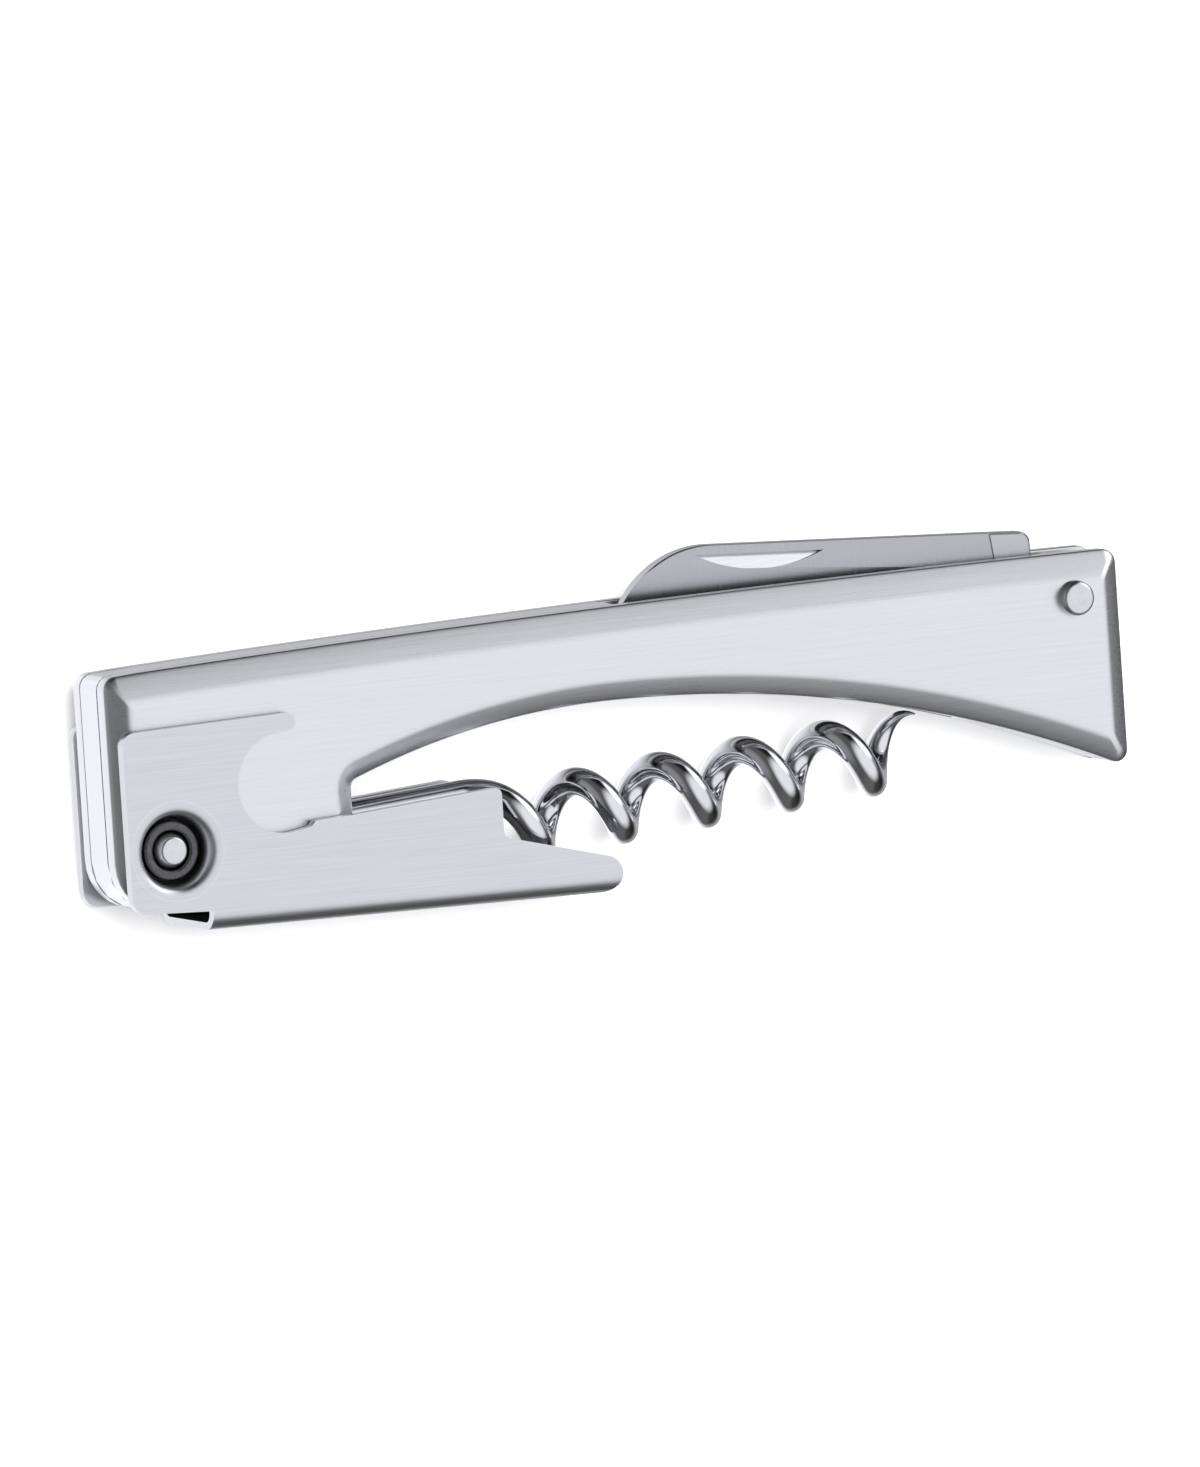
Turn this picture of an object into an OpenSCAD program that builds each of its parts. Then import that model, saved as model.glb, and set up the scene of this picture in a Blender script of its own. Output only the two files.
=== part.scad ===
// Folding lever corkscrew with foil cutter, all steel, shown closed and lying on its side.
// Millimetres. Drawn about the lever pivot: +X runs along the handle to the blade rivet,
// +Y points to the blade's spine and +Z points out of the front face.

/* [Handle] */
// Lever pivot to the handle's left end
handle_left = 5.6; // [5.2:0.1:7]
// Lever pivot to the handle's right end
handle_right = 104.4; // [96:0.2:120]
// Highest point of the handle's back edge above the lever pivot
back_height = 19.1; // [18:0.1:21]
// Where along the handle the back edge is highest
back_crown_x = 85; // [60:1:95]
// Radius of the gently curved back edge
back_radius = 2400; // [1500:50:4000]
// Height of the arch's crown above the lever pivot
arch_height = 9.6; // [8.5:0.1:11]
// Where along the handle the arch is highest
arch_crown_x = 48; // [44:0.5:54]
// Radius of the arch on the foot's side
arch_left_radius = 80; // [70:1:110]
// Radius of the arch on the rivet's side
arch_right_radius = 135; // [110:1:170]
// Lever pivot to the foot's right edge
foot_right = 20.2; // [18:0.1:22]
// Lever pivot down to the foot's lower edge
foot_depth = 6; // [5.6:0.1:6.5]

/* [Covers] */
// Half of the gap between the two covers, which the spacer fills
half_gap = 1.9; // [1.8:0.05:2.2]
// Height of a cover's upright flange
flange_height = 1.8; // [1.4:0.1:2.2]
// Rise of a cover's bevel above its flange
bevel_rise = 1.3; // [1:0.05:1.6]
// Width of a cover's bevel
bevel_width = 1.5; // [1:0.05:2]
// Thickness of the covers' sheet
cover_sheet = 0.75; // [0.6:0.05:1]
// Thickness of the flat liner inside each cover
liner_sheet = 0.6; // [0.5:0.05:0.7]

/* [Lever] */
// Thickness of the lever's folded sheet
lever_sheet = 1.1; // [0.9:0.05:1.3]
// Gap between a cover's face and the lever's cheek
cheek_gap = 0.2; // [0.15:0.05:0.4]
// Lever pivot to the tip of the lever
lever_length = 47.6; // [44:0.2:52]
// Lever pivot down to the outside of the lever's web
web_depth = 8.1; // [8:0.05:9]
// Downward slope of the lever's web
web_tilt = 1.1; // [0:0.1:1.5]
// Lever pivot to the start of the web
web_start = 3.4; // [2.5:0.1:4]
// Lever pivot to the lip that rests on the bottle's rim
lip_x = 35.05; // [32:0.1:38]
// Radius of the cap opener's mouth
opener_radius = 4.95; // [4.5:0.05:5.2]
// Radius of the dish around the lever pin, at the cheek's outer face
dish_radius = 3.7; // [3.5:0.05:3.9]
// Depth of the dish around the lever pin
dish_depth = 2.7; // [2.6:0.05:2.75]
// Radius of the lever pin
lever_pin_radius = 1.9; // [1.7:0.05:2]

/* [Worm] */
// Lever pivot to the worm pivot, along the handle
worm_pivot_x = 12.5; // [11.5:0.1:13.5]
// Radius of the worm's wire
wire_radius = 1.45; // [1.3:0.05:1.5]
// Outside radius of the worm's coil
coil_radius = 4.2; // [4:0.05:4.4]
// Advance of the coil in one turn
coil_pitch = 9.1; // [8.5:0.1:9.5]
// Turns of the coil
coil_turns = 5; // [4:0.05:5.1]
// Length of the straight shank from the worm pivot to the coil
shank_length = 20.7; // [20:0.1:22]
// Upward slope of the folded worm
worm_tilt = 3.8; // [3.4:0.1:4]

/* [Blade] */
// Blade rivet's centre, left of the handle's right end
rivet_inset = 5.45; // [5:0.05:6.5]
// Blade rivet's centre above the lever pivot
rivet_height = 14.7; // [14.2:0.1:15]
// Blade rivet to the blade's tip
blade_reach = 48; // [44:0.5:48.5]
// Thickness of the blade's tang
blade_thickness = 1.9; // [1.6:0.1:2.2]
// Radius of the blade rivet's shank
rivet_radius = 1.5; // [1.3:0.05:1.6]
// Radius of the blade rivet's heads
rivet_head_radius = 1.75; // [1.7:0.05:2.2]

/* [Fits] */
// Radial clearance of a part that turns on a pin
running_clearance = 0.05; // [0.02:0.01:0.1]
// Gap between pieces that are assembled side by side
side_gap = 0.05; // [0.03:0.01:0.1]

/* [Hidden] */
// Levels above the middle plane
dish_floor_sheet = 0.7;
flange_top = half_gap + flange_height;
cover_face = flange_top + bevel_rise;
liner_top = half_gap + liner_sheet;
cheek_inner = cover_face + cheek_gap;
cheek_outer = cheek_inner + lever_sheet;
dish_floor = cheek_outer - dish_depth;
dish_seat = dish_floor - dish_floor_sheet;

// Handle's outline
back_corner = 1.4;
heel_corner = 5;
foot_corner = 1;
lip_corner = 1.2;
arch_fillet = 1;
least_corner = 0.5;
outline_steps = 4;
detail_steps = 6;
back_steps = 4;
arch_steps = 12;
window_clearance = 0.35;
dish_wall = 0.45;
dish_draft = 0.1;
dish_root = 0.3;
window_radius = dish_radius + dish_wall + window_clearance;

// Lever's outline
cheek_left = 5.2;
cheek_top = 12;
cheek_corner = 1.3;
cheek_toe = [3.6, 4.2];
opener_x = 11.9;
opener_y = 5.55;
jaw_length = 1.6;
jaw_corner = 0.9;
jaw_right = opener_x + jaw_length;
tooth = [14.9, 1.45];
tooth_turn = -88;
toe_slope = 0.4;
beam_corner = 0.7;
beam_height = 2.65;
lip_fillet = 0.8;
tip_radius = 1.9;
tip_slope = 15;
bend_outer = 1.8;
channel_high = 30;
bend_inner = bend_outer - lever_sheet;
tip_centre = [lever_length - tip_radius,
    (tip_radius - web_depth) / cos(web_tilt) - (lever_length - tip_radius) * tan(web_tilt)];

// Lever pin and its collars
collar_radius = 2.95;
collar_height = 0.7;
collar_rim = 0.3;
collar_play = 0.1;
pin_rise = 1.2;
pin_step = 0.1;
pin_end_radius = 1.25;
pin_end = dish_floor + collar_height + pin_rise;
pin_shoulder = dish_floor + collar_height - pin_step;

// Worm
worm_pivot_rise = 0.3;
worm_pivot = [worm_pivot_x, worm_pivot_rise];
eye_radius = 3.2;
worm_pin_radius = 1.5;
eye_half = wire_radius;
shank_offset = 3.6;
settle_turns = 1.3;
taper_turns = 0.55;
point_radius = 0.12;
point_lift = 0.3;
bend_turns = 0.8;
steps_per_turn = 18;
wire_sides = 10;
shank_start = 2.4;

// Blade
rivet = [handle_right - rivet_inset, rivet_height];
rivet_face = cheek_outer;
head_gap = 0.01;
head_round = 0.25;
blade_half = blade_thickness / 2;
grind_step = 0.15;
tip_arc_radius = 10.8;
tip_cut = 1.35;
tip_drop = 2;
tip_arc = [rivet.x - blade_reach + tip_arc_radius - tip_cut, rivet.y - tip_drop];
tip_flat = 0.3;
tang_shift = 0.07;
shoulder_width = 1;
shoulder_lean = 0.5;
edge_half = 0.1;
edge_lean = 7;
spine_slope = 3.55;
tang_back = 2.75;
tang_corner = 1.2;
tang_radius = 4.2;
plunge = 6.2;
plunge_lean = 8;
edge_height = 1.9;
edge_rise = 2.2;
nick_radius = 15.9;
nick_depth = 0.35;
nick_chord = 6.75;
nick_from_rivet = 31.9;
nick_below_spine = 0.95;

// Inner pieces
blade_washer_radius = 3.4;
worm_washer_radius = 3;
lever_washer_radius = 2.9;
spacer_right = 50.4;
spacer_depth = 5;
spacer_wall = 6.2;
spacer_chamfer = 3;
spacer_nook = 4;
tail_left = 88;
tail_top = 7.2;
spring_thickness = 1.4;
spring_root = [43, 10.7];
spring_pad = [6, 2.9];
spring_dip = [88, 9.9];
leaf_short = 1.5;
pad_taper = 4;
frame_rivet_radius = 0.9;
spacer_rivets = [[1.5, 13.6], [30, 16.1]];
tail_rivet = [94.5, 4.4];
spring_rivet = spring_root + spring_pad / 2;
frame_rivet_places = concat(spacer_rivets, [tail_rivet, spring_rivet]);

// The origin is the middle of the closed corkscrew's box, on the face it lies on.
blade_top = tip_arc.y + tip_arc_radius;
lever_bottom = tip_centre.y - tip_radius;
middle_x = (handle_right - handle_left) / 2;
middle_y = (blade_top + lever_bottom) / 2;

fine = 64;

// ---- Shared outlines ----

// Points of an arc from one angle to another.
function arc(centre, radius, from, to, steps) =
    [for (i = [0 : steps])
        let (turn = from + (to - from) * i / steps)
        centre + radius * [cos(turn), sin(turn)]];

// Height of the handle's back edge, and of its arch, at any place along the handle.
function back_y(x) = back_height - back_radius + sqrt(pow(back_radius, 2) - pow(x - back_crown_x, 2));
function arch_side_radius(x) = x < arch_crown_x ? arch_left_radius : arch_right_radius;
function arch_y(x, inset) =
    let (r = arch_side_radius(x))
    arch_height - r + sqrt(pow(r + inset, 2) - pow(x - arch_crown_x, 2));

// The handle's side view, drawn inward by inset. Each corner keeps a radius, however small,
// so the outlines at any two insets have the same number of points and can be joined.
function corner_at(radius, inset) = max(radius - inset, least_corner);
function handle_outline(inset) =
    let (
        left = -handle_left + inset,
        right = handle_right - inset,
        low = -foot_depth + inset,
        heel = corner_at(heel_corner, inset),
        corner = corner_at(back_corner, inset),
        toe = corner_at(foot_corner, inset),
        lip = corner_at(lip_corner, inset),
        foot = foot_right - inset,
        fillet = arch_fillet + inset,
        left_centre = [arch_crown_x, arch_height - arch_left_radius],
        right_centre = [arch_crown_x, arch_height - arch_right_radius],
        fillet_x = foot + fillet,
        fillet_centre = [fillet_x, left_centre.y
            + sqrt(pow(arch_left_radius + inset - fillet, 2) - pow(fillet_x - arch_crown_x, 2))],
        fillet_turn = atan2(fillet_centre.y - left_centre.y, fillet_centre.x - left_centre.x),
        lip_centre = [right - lip, right_centre.y
            + sqrt(pow(arch_right_radius + inset + lip, 2) - pow(right - lip - arch_crown_x, 2))],
        lip_turn = atan2(lip_centre.y - right_centre.y, lip_centre.x - right_centre.x)
    )
    concat(
        arc([left + heel, low + heel], heel, 180, 270, outline_steps),
        arc([foot - toe, low + toe], toe, 270, 360, outline_steps),
        arc(fillet_centre, fillet, 180, fillet_turn, outline_steps),
        arc(left_centre, arch_left_radius + inset, fillet_turn - 1, 91, arch_steps),
        arc(right_centre, arch_right_radius + inset, 90, lip_turn + 0.5, arch_steps),
        arc(lip_centre, lip, lip_turn + 180, 360, outline_steps),
        arc([right - corner, back_y(right) - inset - corner], corner, 0, 90, outline_steps),
        [for (i = [1 : back_steps - 1])
            let (x = right - corner + (left - right + 2 * corner) * i / back_steps)
            [x, back_y(x) - inset]],
        arc([left + corner, back_y(left) - inset - corner], corner, 90, 180, outline_steps)
    );

// A solid whose walls join equal rings of points, one above the other. Each four-sided patch
// is split into two triangles, because on a curved wall its corners don't lie in one plane.
module loft(rings) {
    count = len(rings[0]);
    last = len(rings) - 1;
    walls = [for (r = [0 : last - 1]) for (i = [0 : count - 1])
        let (
            here = r * count,
            above = here + count,
            j = (i + 1) % count
        )
        each [[here + i, above + i, above + j], [here + i, above + j, here + j]]];
    floor_face = [for (i = [0 : count - 1]) i];
    roof_face = [for (i = [count - 1 : -1 : 0]) last * count + i];
    polyhedron(
        points = [for (ring = rings) for (p = ring) p],
        faces = concat([floor_face, roof_face], walls),
        convexity = 6
    );
}
function lifted(outline, z) = [for (p = outline) [p.x, p.y, z]];

// Everything is drawn about the lever pivot and then moved to the shared frame.
module place() translate([-middle_x, -middle_y, cheek_outer]) children();
module back_side() mirror([0, 0, 1]) children();

// An upright bore or shank through any piece.
module shank(centre, radius, low, high) {
    translate([centre.x, centre.y, low]) cylinder(r = radius, h = high - low, $fn = fine);
}
module flat_ring(centre, outer, inner, low, high) {
    difference() {
        shank(centre, outer, low, high);
        shank(centre, inner, low - 1, high + 1);
    }
}

// ---- Handle ----

// Each cover is a shallow tray with an upright flange, a bevel all round and a flat face. It is
// hollow to a little below the bevel, so that the sheet is nowhere thinner than it should be.
module cover() {
    pocket = flange_height - cover_sheet / 3;
    difference() {
        loft([
            lifted(handle_outline(0), half_gap),
            lifted(handle_outline(0), flange_top),
            lifted(handle_outline(bevel_width), cover_face)
        ]);
        translate([0, 0, half_gap - 1])
            linear_extrude(pocket + 1) polygon(handle_outline(cover_sheet));
        shank([0, 0], window_radius, half_gap, cover_face + 1);
        shank(rivet, rivet_radius + side_gap / 2, half_gap, cover_face + 1);
    }
}

module liner() {
    difference() {
        translate([0, 0, half_gap])
            linear_extrude(liner_sheet) polygon(handle_outline(cover_sheet + side_gap));
        shank([0, 0], lever_pin_radius + side_gap / 2, half_gap - 1, liner_top + 1);
        shank(worm_pivot, worm_pin_radius + side_gap / 2, half_gap - 1, liner_top + 1);
        shank(rivet, rivet_radius + side_gap / 2, half_gap - 1, liner_top + 1);
        for (p = frame_rivet_places) {
            shank(p, frame_rivet_radius + side_gap / 2, half_gap - 1, liner_top + 1);
        }
    }
}

// The spacer fills the handle's left end and its back edge as far as the blade's slot.
module spacer() {
    spacer_half = half_gap - side_gap / 2;
    inner = back_y(spacer_right) - spacer_depth;
    difference() {
        translate([0, 0, -spacer_half]) linear_extrude(2 * spacer_half) polygon(concat(
            arc([-handle_left + heel_corner, -foot_depth + heel_corner], heel_corner, 180, 270,
                outline_steps),
            [[spacer_wall - spacer_chamfer, -foot_depth], [spacer_wall, -foot_depth + spacer_chamfer]],
            arc([spacer_wall + spacer_nook, inner - spacer_nook], spacer_nook, 180, 90, outline_steps),
            [[spacer_right, inner], [spacer_right, back_y(spacer_right)]],
            [for (i = [1 : arch_steps - 1])
                let (x = spacer_right + (-handle_left + back_corner - spacer_right) * i / arch_steps)
                [x, back_y(x)]],
            arc([-handle_left + back_corner, back_y(-handle_left) - back_corner], back_corner, 90, 180,
                outline_steps)
        ));
        shank([0, 0], lever_pin_radius + side_gap / 2, -half_gap - 1, half_gap + 1);
        for (p = spacer_rivets) {
            shank(p, frame_rivet_radius + side_gap / 2, -half_gap - 1, half_gap + 1);
        }
    }
}

// The tail spacer fills the lower right corner, clear of the blade's tang.
module tail_spacer() {
    spacer_half = half_gap - side_gap / 2;
    right_centre = [arch_crown_x, arch_height - arch_right_radius];
    lip_x_centre = handle_right - lip_corner;
    lip_y_centre = right_centre.y
        + sqrt(pow(arch_right_radius + lip_corner, 2) - pow(lip_x_centre - arch_crown_x, 2));
    difference() {
        translate([0, 0, -spacer_half]) linear_extrude(2 * spacer_half) polygon(concat(
            [for (i = [0 : arch_steps])
                let (x = tail_left + (lip_x_centre - lip_corner - tail_left) * i / arch_steps)
                [x, arch_y(x, 0)]],
            arc([lip_x_centre, lip_y_centre], lip_corner, 270, 360, outline_steps),
            [[handle_right, tail_top], [tail_left, tail_top]]
        ));
        shank(tail_rivet, frame_rivet_radius + side_gap / 2, -half_gap - 1, half_gap + 1);
    }
}

// A leaf under the blade. Its root is riveted below the spacer and its end bears on the tang.
module blade_spring() {
    leaf_end = [rivet.x - leaf_short, rivet.y - tang_radius - side_gap];
    pad_end = [spring_pad.x + pad_taper, 0];
    leaf = [0, spring_thickness];
    difference() {
        translate([0, 0, -blade_half]) linear_extrude(blade_thickness) polygon([
            spring_root,
            spring_root + pad_end,
            spring_dip - leaf,
            leaf_end - leaf,
            leaf_end,
            spring_dip,
            spring_root + pad_end + leaf,
            spring_root + spring_pad,
            spring_root + [0, spring_pad.y]
        ]);
        shank(spring_rivet, frame_rivet_radius + side_gap / 2, -half_gap, half_gap);
    }
}

module frame_rivets() {
    for (p = frame_rivet_places) {
        shank(p, frame_rivet_radius, -liner_top, liner_top);
    }
}

// ---- Blade ----

function blade_outline() =
    let (
        spine_start = tip_arc + tip_arc_radius * [sin(spine_slope), cos(spine_slope)],
        tang_x = rivet.x - tang_back,
        spine_end_y = spine_start.y - (tang_x - spine_start.x) * tan(spine_slope),
        tip_x = rivet.x - blade_reach,
        tip_turn = acos((tip_x + tip_flat - tip_arc.x) / tip_arc_radius),
        drop = asin(tang_back / tang_radius)
    )
    concat(
        [[tip_x, rivet.y + edge_height]],
        arc(tip_arc, tip_arc_radius, tip_turn, 90 - spine_slope, detail_steps * 2),
        arc([tang_x - tang_corner, spine_end_y - tang_corner + tang_shift], tang_corner,
            90 - spine_slope, 0, detail_steps),
        arc(rivet, tang_radius, 90 + drop, -90, detail_steps * 3),
        [[rivet.x - plunge - shoulder_width, rivet.y - tang_radius],
         [rivet.x - plunge - shoulder_width - shoulder_lean, rivet.y - edge_rise]]
    );

module blade() {
    edge_from = [rivet.x - blade_reach, rivet.y + edge_height];
    edge_to = [rivet.x - plunge - shoulder_width - shoulder_lean, rivet.y - edge_rise];
    edge_turn = atan2(edge_to.y - edge_from.y, edge_to.x - edge_from.x);
    nick_middle = [rivet.x - nick_from_rivet,
        tip_arc.y + tip_arc_radius - nick_below_spine
            - (rivet.x - nick_from_rivet - tip_arc.x) * tan(spine_slope)];
    nick_turn = acos(nick_chord / nick_radius);
    grinder = [60, 40];
    edge_run = 5;
    edge_grinder = [norm(edge_to - edge_from) + edge_run, 16, 4];
    difference() {
        translate([0, 0, -blade_half]) linear_extrude(blade_thickness) polygon(blade_outline());
        shank(rivet, rivet_radius + running_clearance, -half_gap, half_gap);
        // The ground faces stand back from the tang and end in a straight plunge line.
        for (side = [0, 1]) mirror([0, 0, side]) {
            translate([0, 0, blade_half - grind_step])
                linear_extrude(1) translate([rivet.x - plunge, rivet.y])
                rotate(plunge_lean) translate([-grinder.x, -grinder.y / 2]) square(grinder);
            // The cutting edge is a long flat bevel.
            translate([edge_from.x, edge_from.y, edge_half]) rotate([0, 0, edge_turn])
                rotate([edge_lean, 0, 0]) translate([-edge_run, -edge_grinder.y / 3, 0])
                cube(edge_grinder);
        }
        // The nail nick is a shallow segment with a straight upper side.
        translate([nick_middle.x, nick_middle.y, blade_half - grind_step - nick_depth])
            rotate(-spine_slope) linear_extrude(2)
            polygon(arc([0, nick_radius * sin(nick_turn)], nick_radius, 180 + nick_turn,
                360 - nick_turn, detail_steps * 2));
    }
}

module blade_rivet() {
    seat = cover_face + head_gap;
    shank(rivet, rivet_radius, -seat, seat);
    for (side = [0, 1]) mirror([0, 0, side]) translate([rivet.x, rivet.y, seat])
        rotate_extrude($fn = fine) polygon(concat(
            [[0, 0], [rivet_head_radius, 0]],
            arc([rivet_head_radius - head_round, rivet_face - seat - head_round], head_round, 0, 90,
                outline_steps),
            [[0, rivet_face - seat]]
        ));
}

module blade_washer() {
    flat_ring(rivet, blade_washer_radius, rivet_radius + side_gap / 2, blade_half + side_gap,
        half_gap - side_gap);
}

// ---- Worm ----

// The wire's radius and middle line after some turns of the coil. The straight shank bends
// gradually into the coil and closes in on the coil's axis as it does. The last half turn is
// ground to a point, which leans outward by a share of the steel that is ground away.
coil_run = coil_turns + bend_turns / 2;
function wire_at(turn) =
    let (left = max(0, min(1, (coil_run - turn) / taper_turns)))
    point_radius + (wire_radius - point_radius) * pow(sin(90 * left), 1.2);
function coil_reach(turn) =
    let (
        settled = min(1, turn / settle_turns),
        ease = settled * settled * (3 - 2 * settled),
        full_reach = coil_radius - wire_radius + point_lift * (wire_radius - wire_at(turn))
    )
    shank_offset + (full_reach - shank_offset) * ease;
function coil_angle(turn) =
    turn < bend_turns ? 180 * turn * turn / bend_turns : 360 * turn - 180 * bend_turns;
function coil_point(turn) =
    [shank_length + coil_pitch * turn,
     -shank_offset + coil_reach(turn) * cos(coil_angle(turn)),
     coil_reach(turn) * sin(coil_angle(turn))];
function unit(v) = v / norm(v);
function coil_ring(turn) =
    let (
        step = 0.01,
        along = unit(coil_point(turn + step) - coil_point(turn - step)),
        outward = [0, cos(coil_angle(turn)), sin(coil_angle(turn))],
        side = unit(cross(along, outward)),
        up = cross(side, along)
    )
    [for (i = [0 : wire_sides - 1])
        let (around = 360 * i / wire_sides)
        coil_point(turn) + wire_at(turn) * (cos(around) * up + sin(around) * side)];
function shank_ring(x) =
    [for (i = [0 : wire_sides - 1])
        let (around = 360 * i / wire_sides)
        [x, wire_radius * cos(around), wire_radius * sin(around)]];

module worm() {
    coil_steps = floor(coil_run * steps_per_turn);
    coil_rings = [for (i = [1 : coil_steps]) coil_ring(coil_run * i / coil_steps)];
    translate([worm_pivot.x, worm_pivot.y, 0]) rotate(worm_tilt) difference() {
        union() {
            shank([0, 0], eye_radius, -eye_half, eye_half);
            loft(concat([shank_ring(shank_start), shank_ring(shank_length - 1)], coil_rings));
        }
        shank([0, 0], worm_pin_radius + running_clearance, -half_gap, half_gap);
    }
}

module worm_pin() shank(worm_pivot, worm_pin_radius, -liner_top, liner_top);

module worm_washer() {
    flat_ring(worm_pivot, worm_washer_radius, worm_pin_radius + side_gap / 2, eye_half + side_gap,
        half_gap - side_gap);
}

// ---- Lever ----

// The lever's side view: cheek, cap opener, beam, lip and tip.
function lever_outline() =
    let (
        web_low = -web_depth - web_start * tan(web_tilt) - 1,
        toe_radius = cheek_left - cheek_toe.x,
        lip_line = tip_centre + tip_radius * [sin(tip_slope), cos(tip_slope)]
    )
    concat(
        arc([-cheek_toe.x, -cheek_toe.y], toe_radius, 180, 270, detail_steps),
        [[web_start, -cheek_toe.y - toe_radius - toe_slope], [web_start, web_low]],
        arc(tip_centre, tip_radius, -90 - web_tilt, 90 - tip_slope, detail_steps * 2),
        arc([lip_x + lip_fillet, lip_line.y + (lip_line.x - lip_x - lip_fillet) * tan(tip_slope)
                + lip_fillet / cos(tip_slope)],
            lip_fillet, 270 - tip_slope, 180, detail_steps),
        arc([lip_x - beam_corner, beam_height - beam_corner], beam_corner, 0, 90, detail_steps),
        [tooth],
        arc([opener_x, opener_y], opener_radius, tooth_turn, -270, detail_steps * 4),
        arc([jaw_right - jaw_corner, opener_y + opener_radius + jaw_corner], jaw_corner, -90, 90,
            detail_steps),
        arc([-cheek_left + cheek_corner, cheek_top - cheek_corner], cheek_corner, 92, 180, detail_steps)
    );

// The folded sheet's end view: two cheeks and a web joined by round bends.
module channel_section(half_width, low, bend, high) {
    polygon(concat(
        arc([low + bend, -half_width + bend], bend, 180, 270, detail_steps),
        [[high, -half_width], [high, half_width]],
        arc([low + bend, half_width - bend], bend, 90, 180, detail_steps)
    ));
}

module channel() {
    spare = 5;
    run = lever_length + cheek_left + 2 * spare;
    rotate(-web_tilt) translate([-cheek_left - spare, 0, 0]) rotate([90, 0, 90])
        linear_extrude(run) difference() {
            channel_section(cheek_outer, -web_depth, bend_outer, channel_high);
            channel_section(cheek_inner, -web_depth + lever_sheet, bend_inner, channel_high + 1);
        }
}

module lever() {
    difference() {
        union() {
            intersection() {
                channel();
                translate([0, 0, -cheek_outer - 1])
                    linear_extrude(2 * cheek_outer + 2) polygon(lever_outline());
            }
            for (side = [0, 1]) mirror([0, 0, side])
                translate([0, 0, dish_seat])
                cylinder(r1 = dish_radius - dish_draft, r2 = dish_radius + dish_wall,
                    h = cheek_inner + dish_root - dish_seat, $fn = fine);
        }
        for (side = [0, 1]) mirror([0, 0, side]) {
            translate([0, 0, dish_floor])
                cylinder(r1 = collar_radius + collar_play, r2 = dish_radius, h = dish_depth, $fn = fine);
        }
        shank([0, 0], lever_pin_radius + running_clearance, -cheek_outer - 1, cheek_outer + 1);
    }
}

module lever_pin() {
    shank([0, 0], lever_pin_radius, -pin_shoulder, pin_shoulder);
    for (side = [0, 1]) mirror([0, 0, side]) translate([0, 0, pin_shoulder])
        cylinder(r1 = lever_pin_radius, r2 = pin_end_radius, h = pin_end - pin_shoulder, $fn = fine);
}

module lever_collar() {
    low = dish_floor + side_gap;
    high = low + collar_height;
    rotate_extrude($fn = fine) polygon(concat(
        [[lever_pin_radius + side_gap / 2, low], [collar_radius, low]],
        arc([collar_radius - collar_rim, high - collar_rim], collar_rim, 0, 90, 4),
        [[lever_pin_radius + side_gap / 2, high]]
    ));
}

module lever_washer() {
    flat_ring([0, 0], lever_washer_radius, lever_pin_radius + side_gap / 2, liner_top + side_gap / 2,
        dish_seat - side_gap);
}

// ---- The assembly ----

color("silver") place() cover();  // front_cover
color("silver") place() back_side() cover();  // back_cover
color("gray") place() liner();  // front_liner
color("gray") place() back_side() liner();  // back_liner
color("gainsboro") place() spacer();
color("gainsboro") place() tail_spacer();
color("slategray") place() blade_spring();
color("gray") place() frame_rivets();
color("lightsteelblue") place() blade();
color("white") place() blade_rivet();
color("tan") place() blade_washer();  // blade_washer_front
color("tan") place() back_side() blade_washer();  // blade_washer_back
color("lightgray") place() worm();
color("white") place() worm_pin();
color("tan") place() worm_washer();  // worm_washer_front
color("tan") place() back_side() worm_washer();  // worm_washer_back
color("silver") place() lever();
color("white") place() lever_pin();
color("dimgray") place() lever_collar();  // lever_collar_front
color("dimgray") place() back_side() lever_collar();  // lever_collar_back
color("tan") place() lever_washer();  // lever_washer_front
color("tan") place() back_side() lever_washer();  // lever_washer_back
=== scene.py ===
# %% [markdown]
# # A folding lever corkscrew, closed
# The tool lies on its side on a pale surface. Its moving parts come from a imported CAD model,
# which fixes where every piece is and what it turns with. This lesson rebuilds each piece that
# shows as a finer mesh, and gives every piece its own steel.

import math

import bmesh
import bpy
from mathutils import Matrix, Vector


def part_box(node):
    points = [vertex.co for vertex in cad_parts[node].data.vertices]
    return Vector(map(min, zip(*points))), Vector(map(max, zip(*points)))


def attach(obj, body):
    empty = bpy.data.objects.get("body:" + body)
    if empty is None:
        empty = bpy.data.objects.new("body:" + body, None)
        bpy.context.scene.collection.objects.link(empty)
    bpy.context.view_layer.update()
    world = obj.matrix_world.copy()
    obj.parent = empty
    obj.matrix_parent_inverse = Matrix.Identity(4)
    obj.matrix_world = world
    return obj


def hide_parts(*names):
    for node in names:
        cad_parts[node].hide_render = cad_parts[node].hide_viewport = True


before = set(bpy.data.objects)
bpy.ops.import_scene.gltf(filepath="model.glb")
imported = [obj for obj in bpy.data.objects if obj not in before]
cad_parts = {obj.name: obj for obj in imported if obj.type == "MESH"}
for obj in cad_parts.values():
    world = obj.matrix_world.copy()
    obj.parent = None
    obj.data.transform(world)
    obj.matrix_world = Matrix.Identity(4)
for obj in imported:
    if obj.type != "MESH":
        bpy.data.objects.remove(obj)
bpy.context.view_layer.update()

# %% [markdown]
# ## Units and the common centre
# Everything is drawn in millimetres about the lever's pivot, in the plane midway between the
# two covers, because every outline is easiest to read from there. The lever pin gives the place
# of that centre in the frame, so the drawing follows the CAD model if it is packed again.

# %% Units and the common centre
MM = 0.001


def middle_of(node):
    low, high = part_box(node)
    return (low + high) / 2


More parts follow.
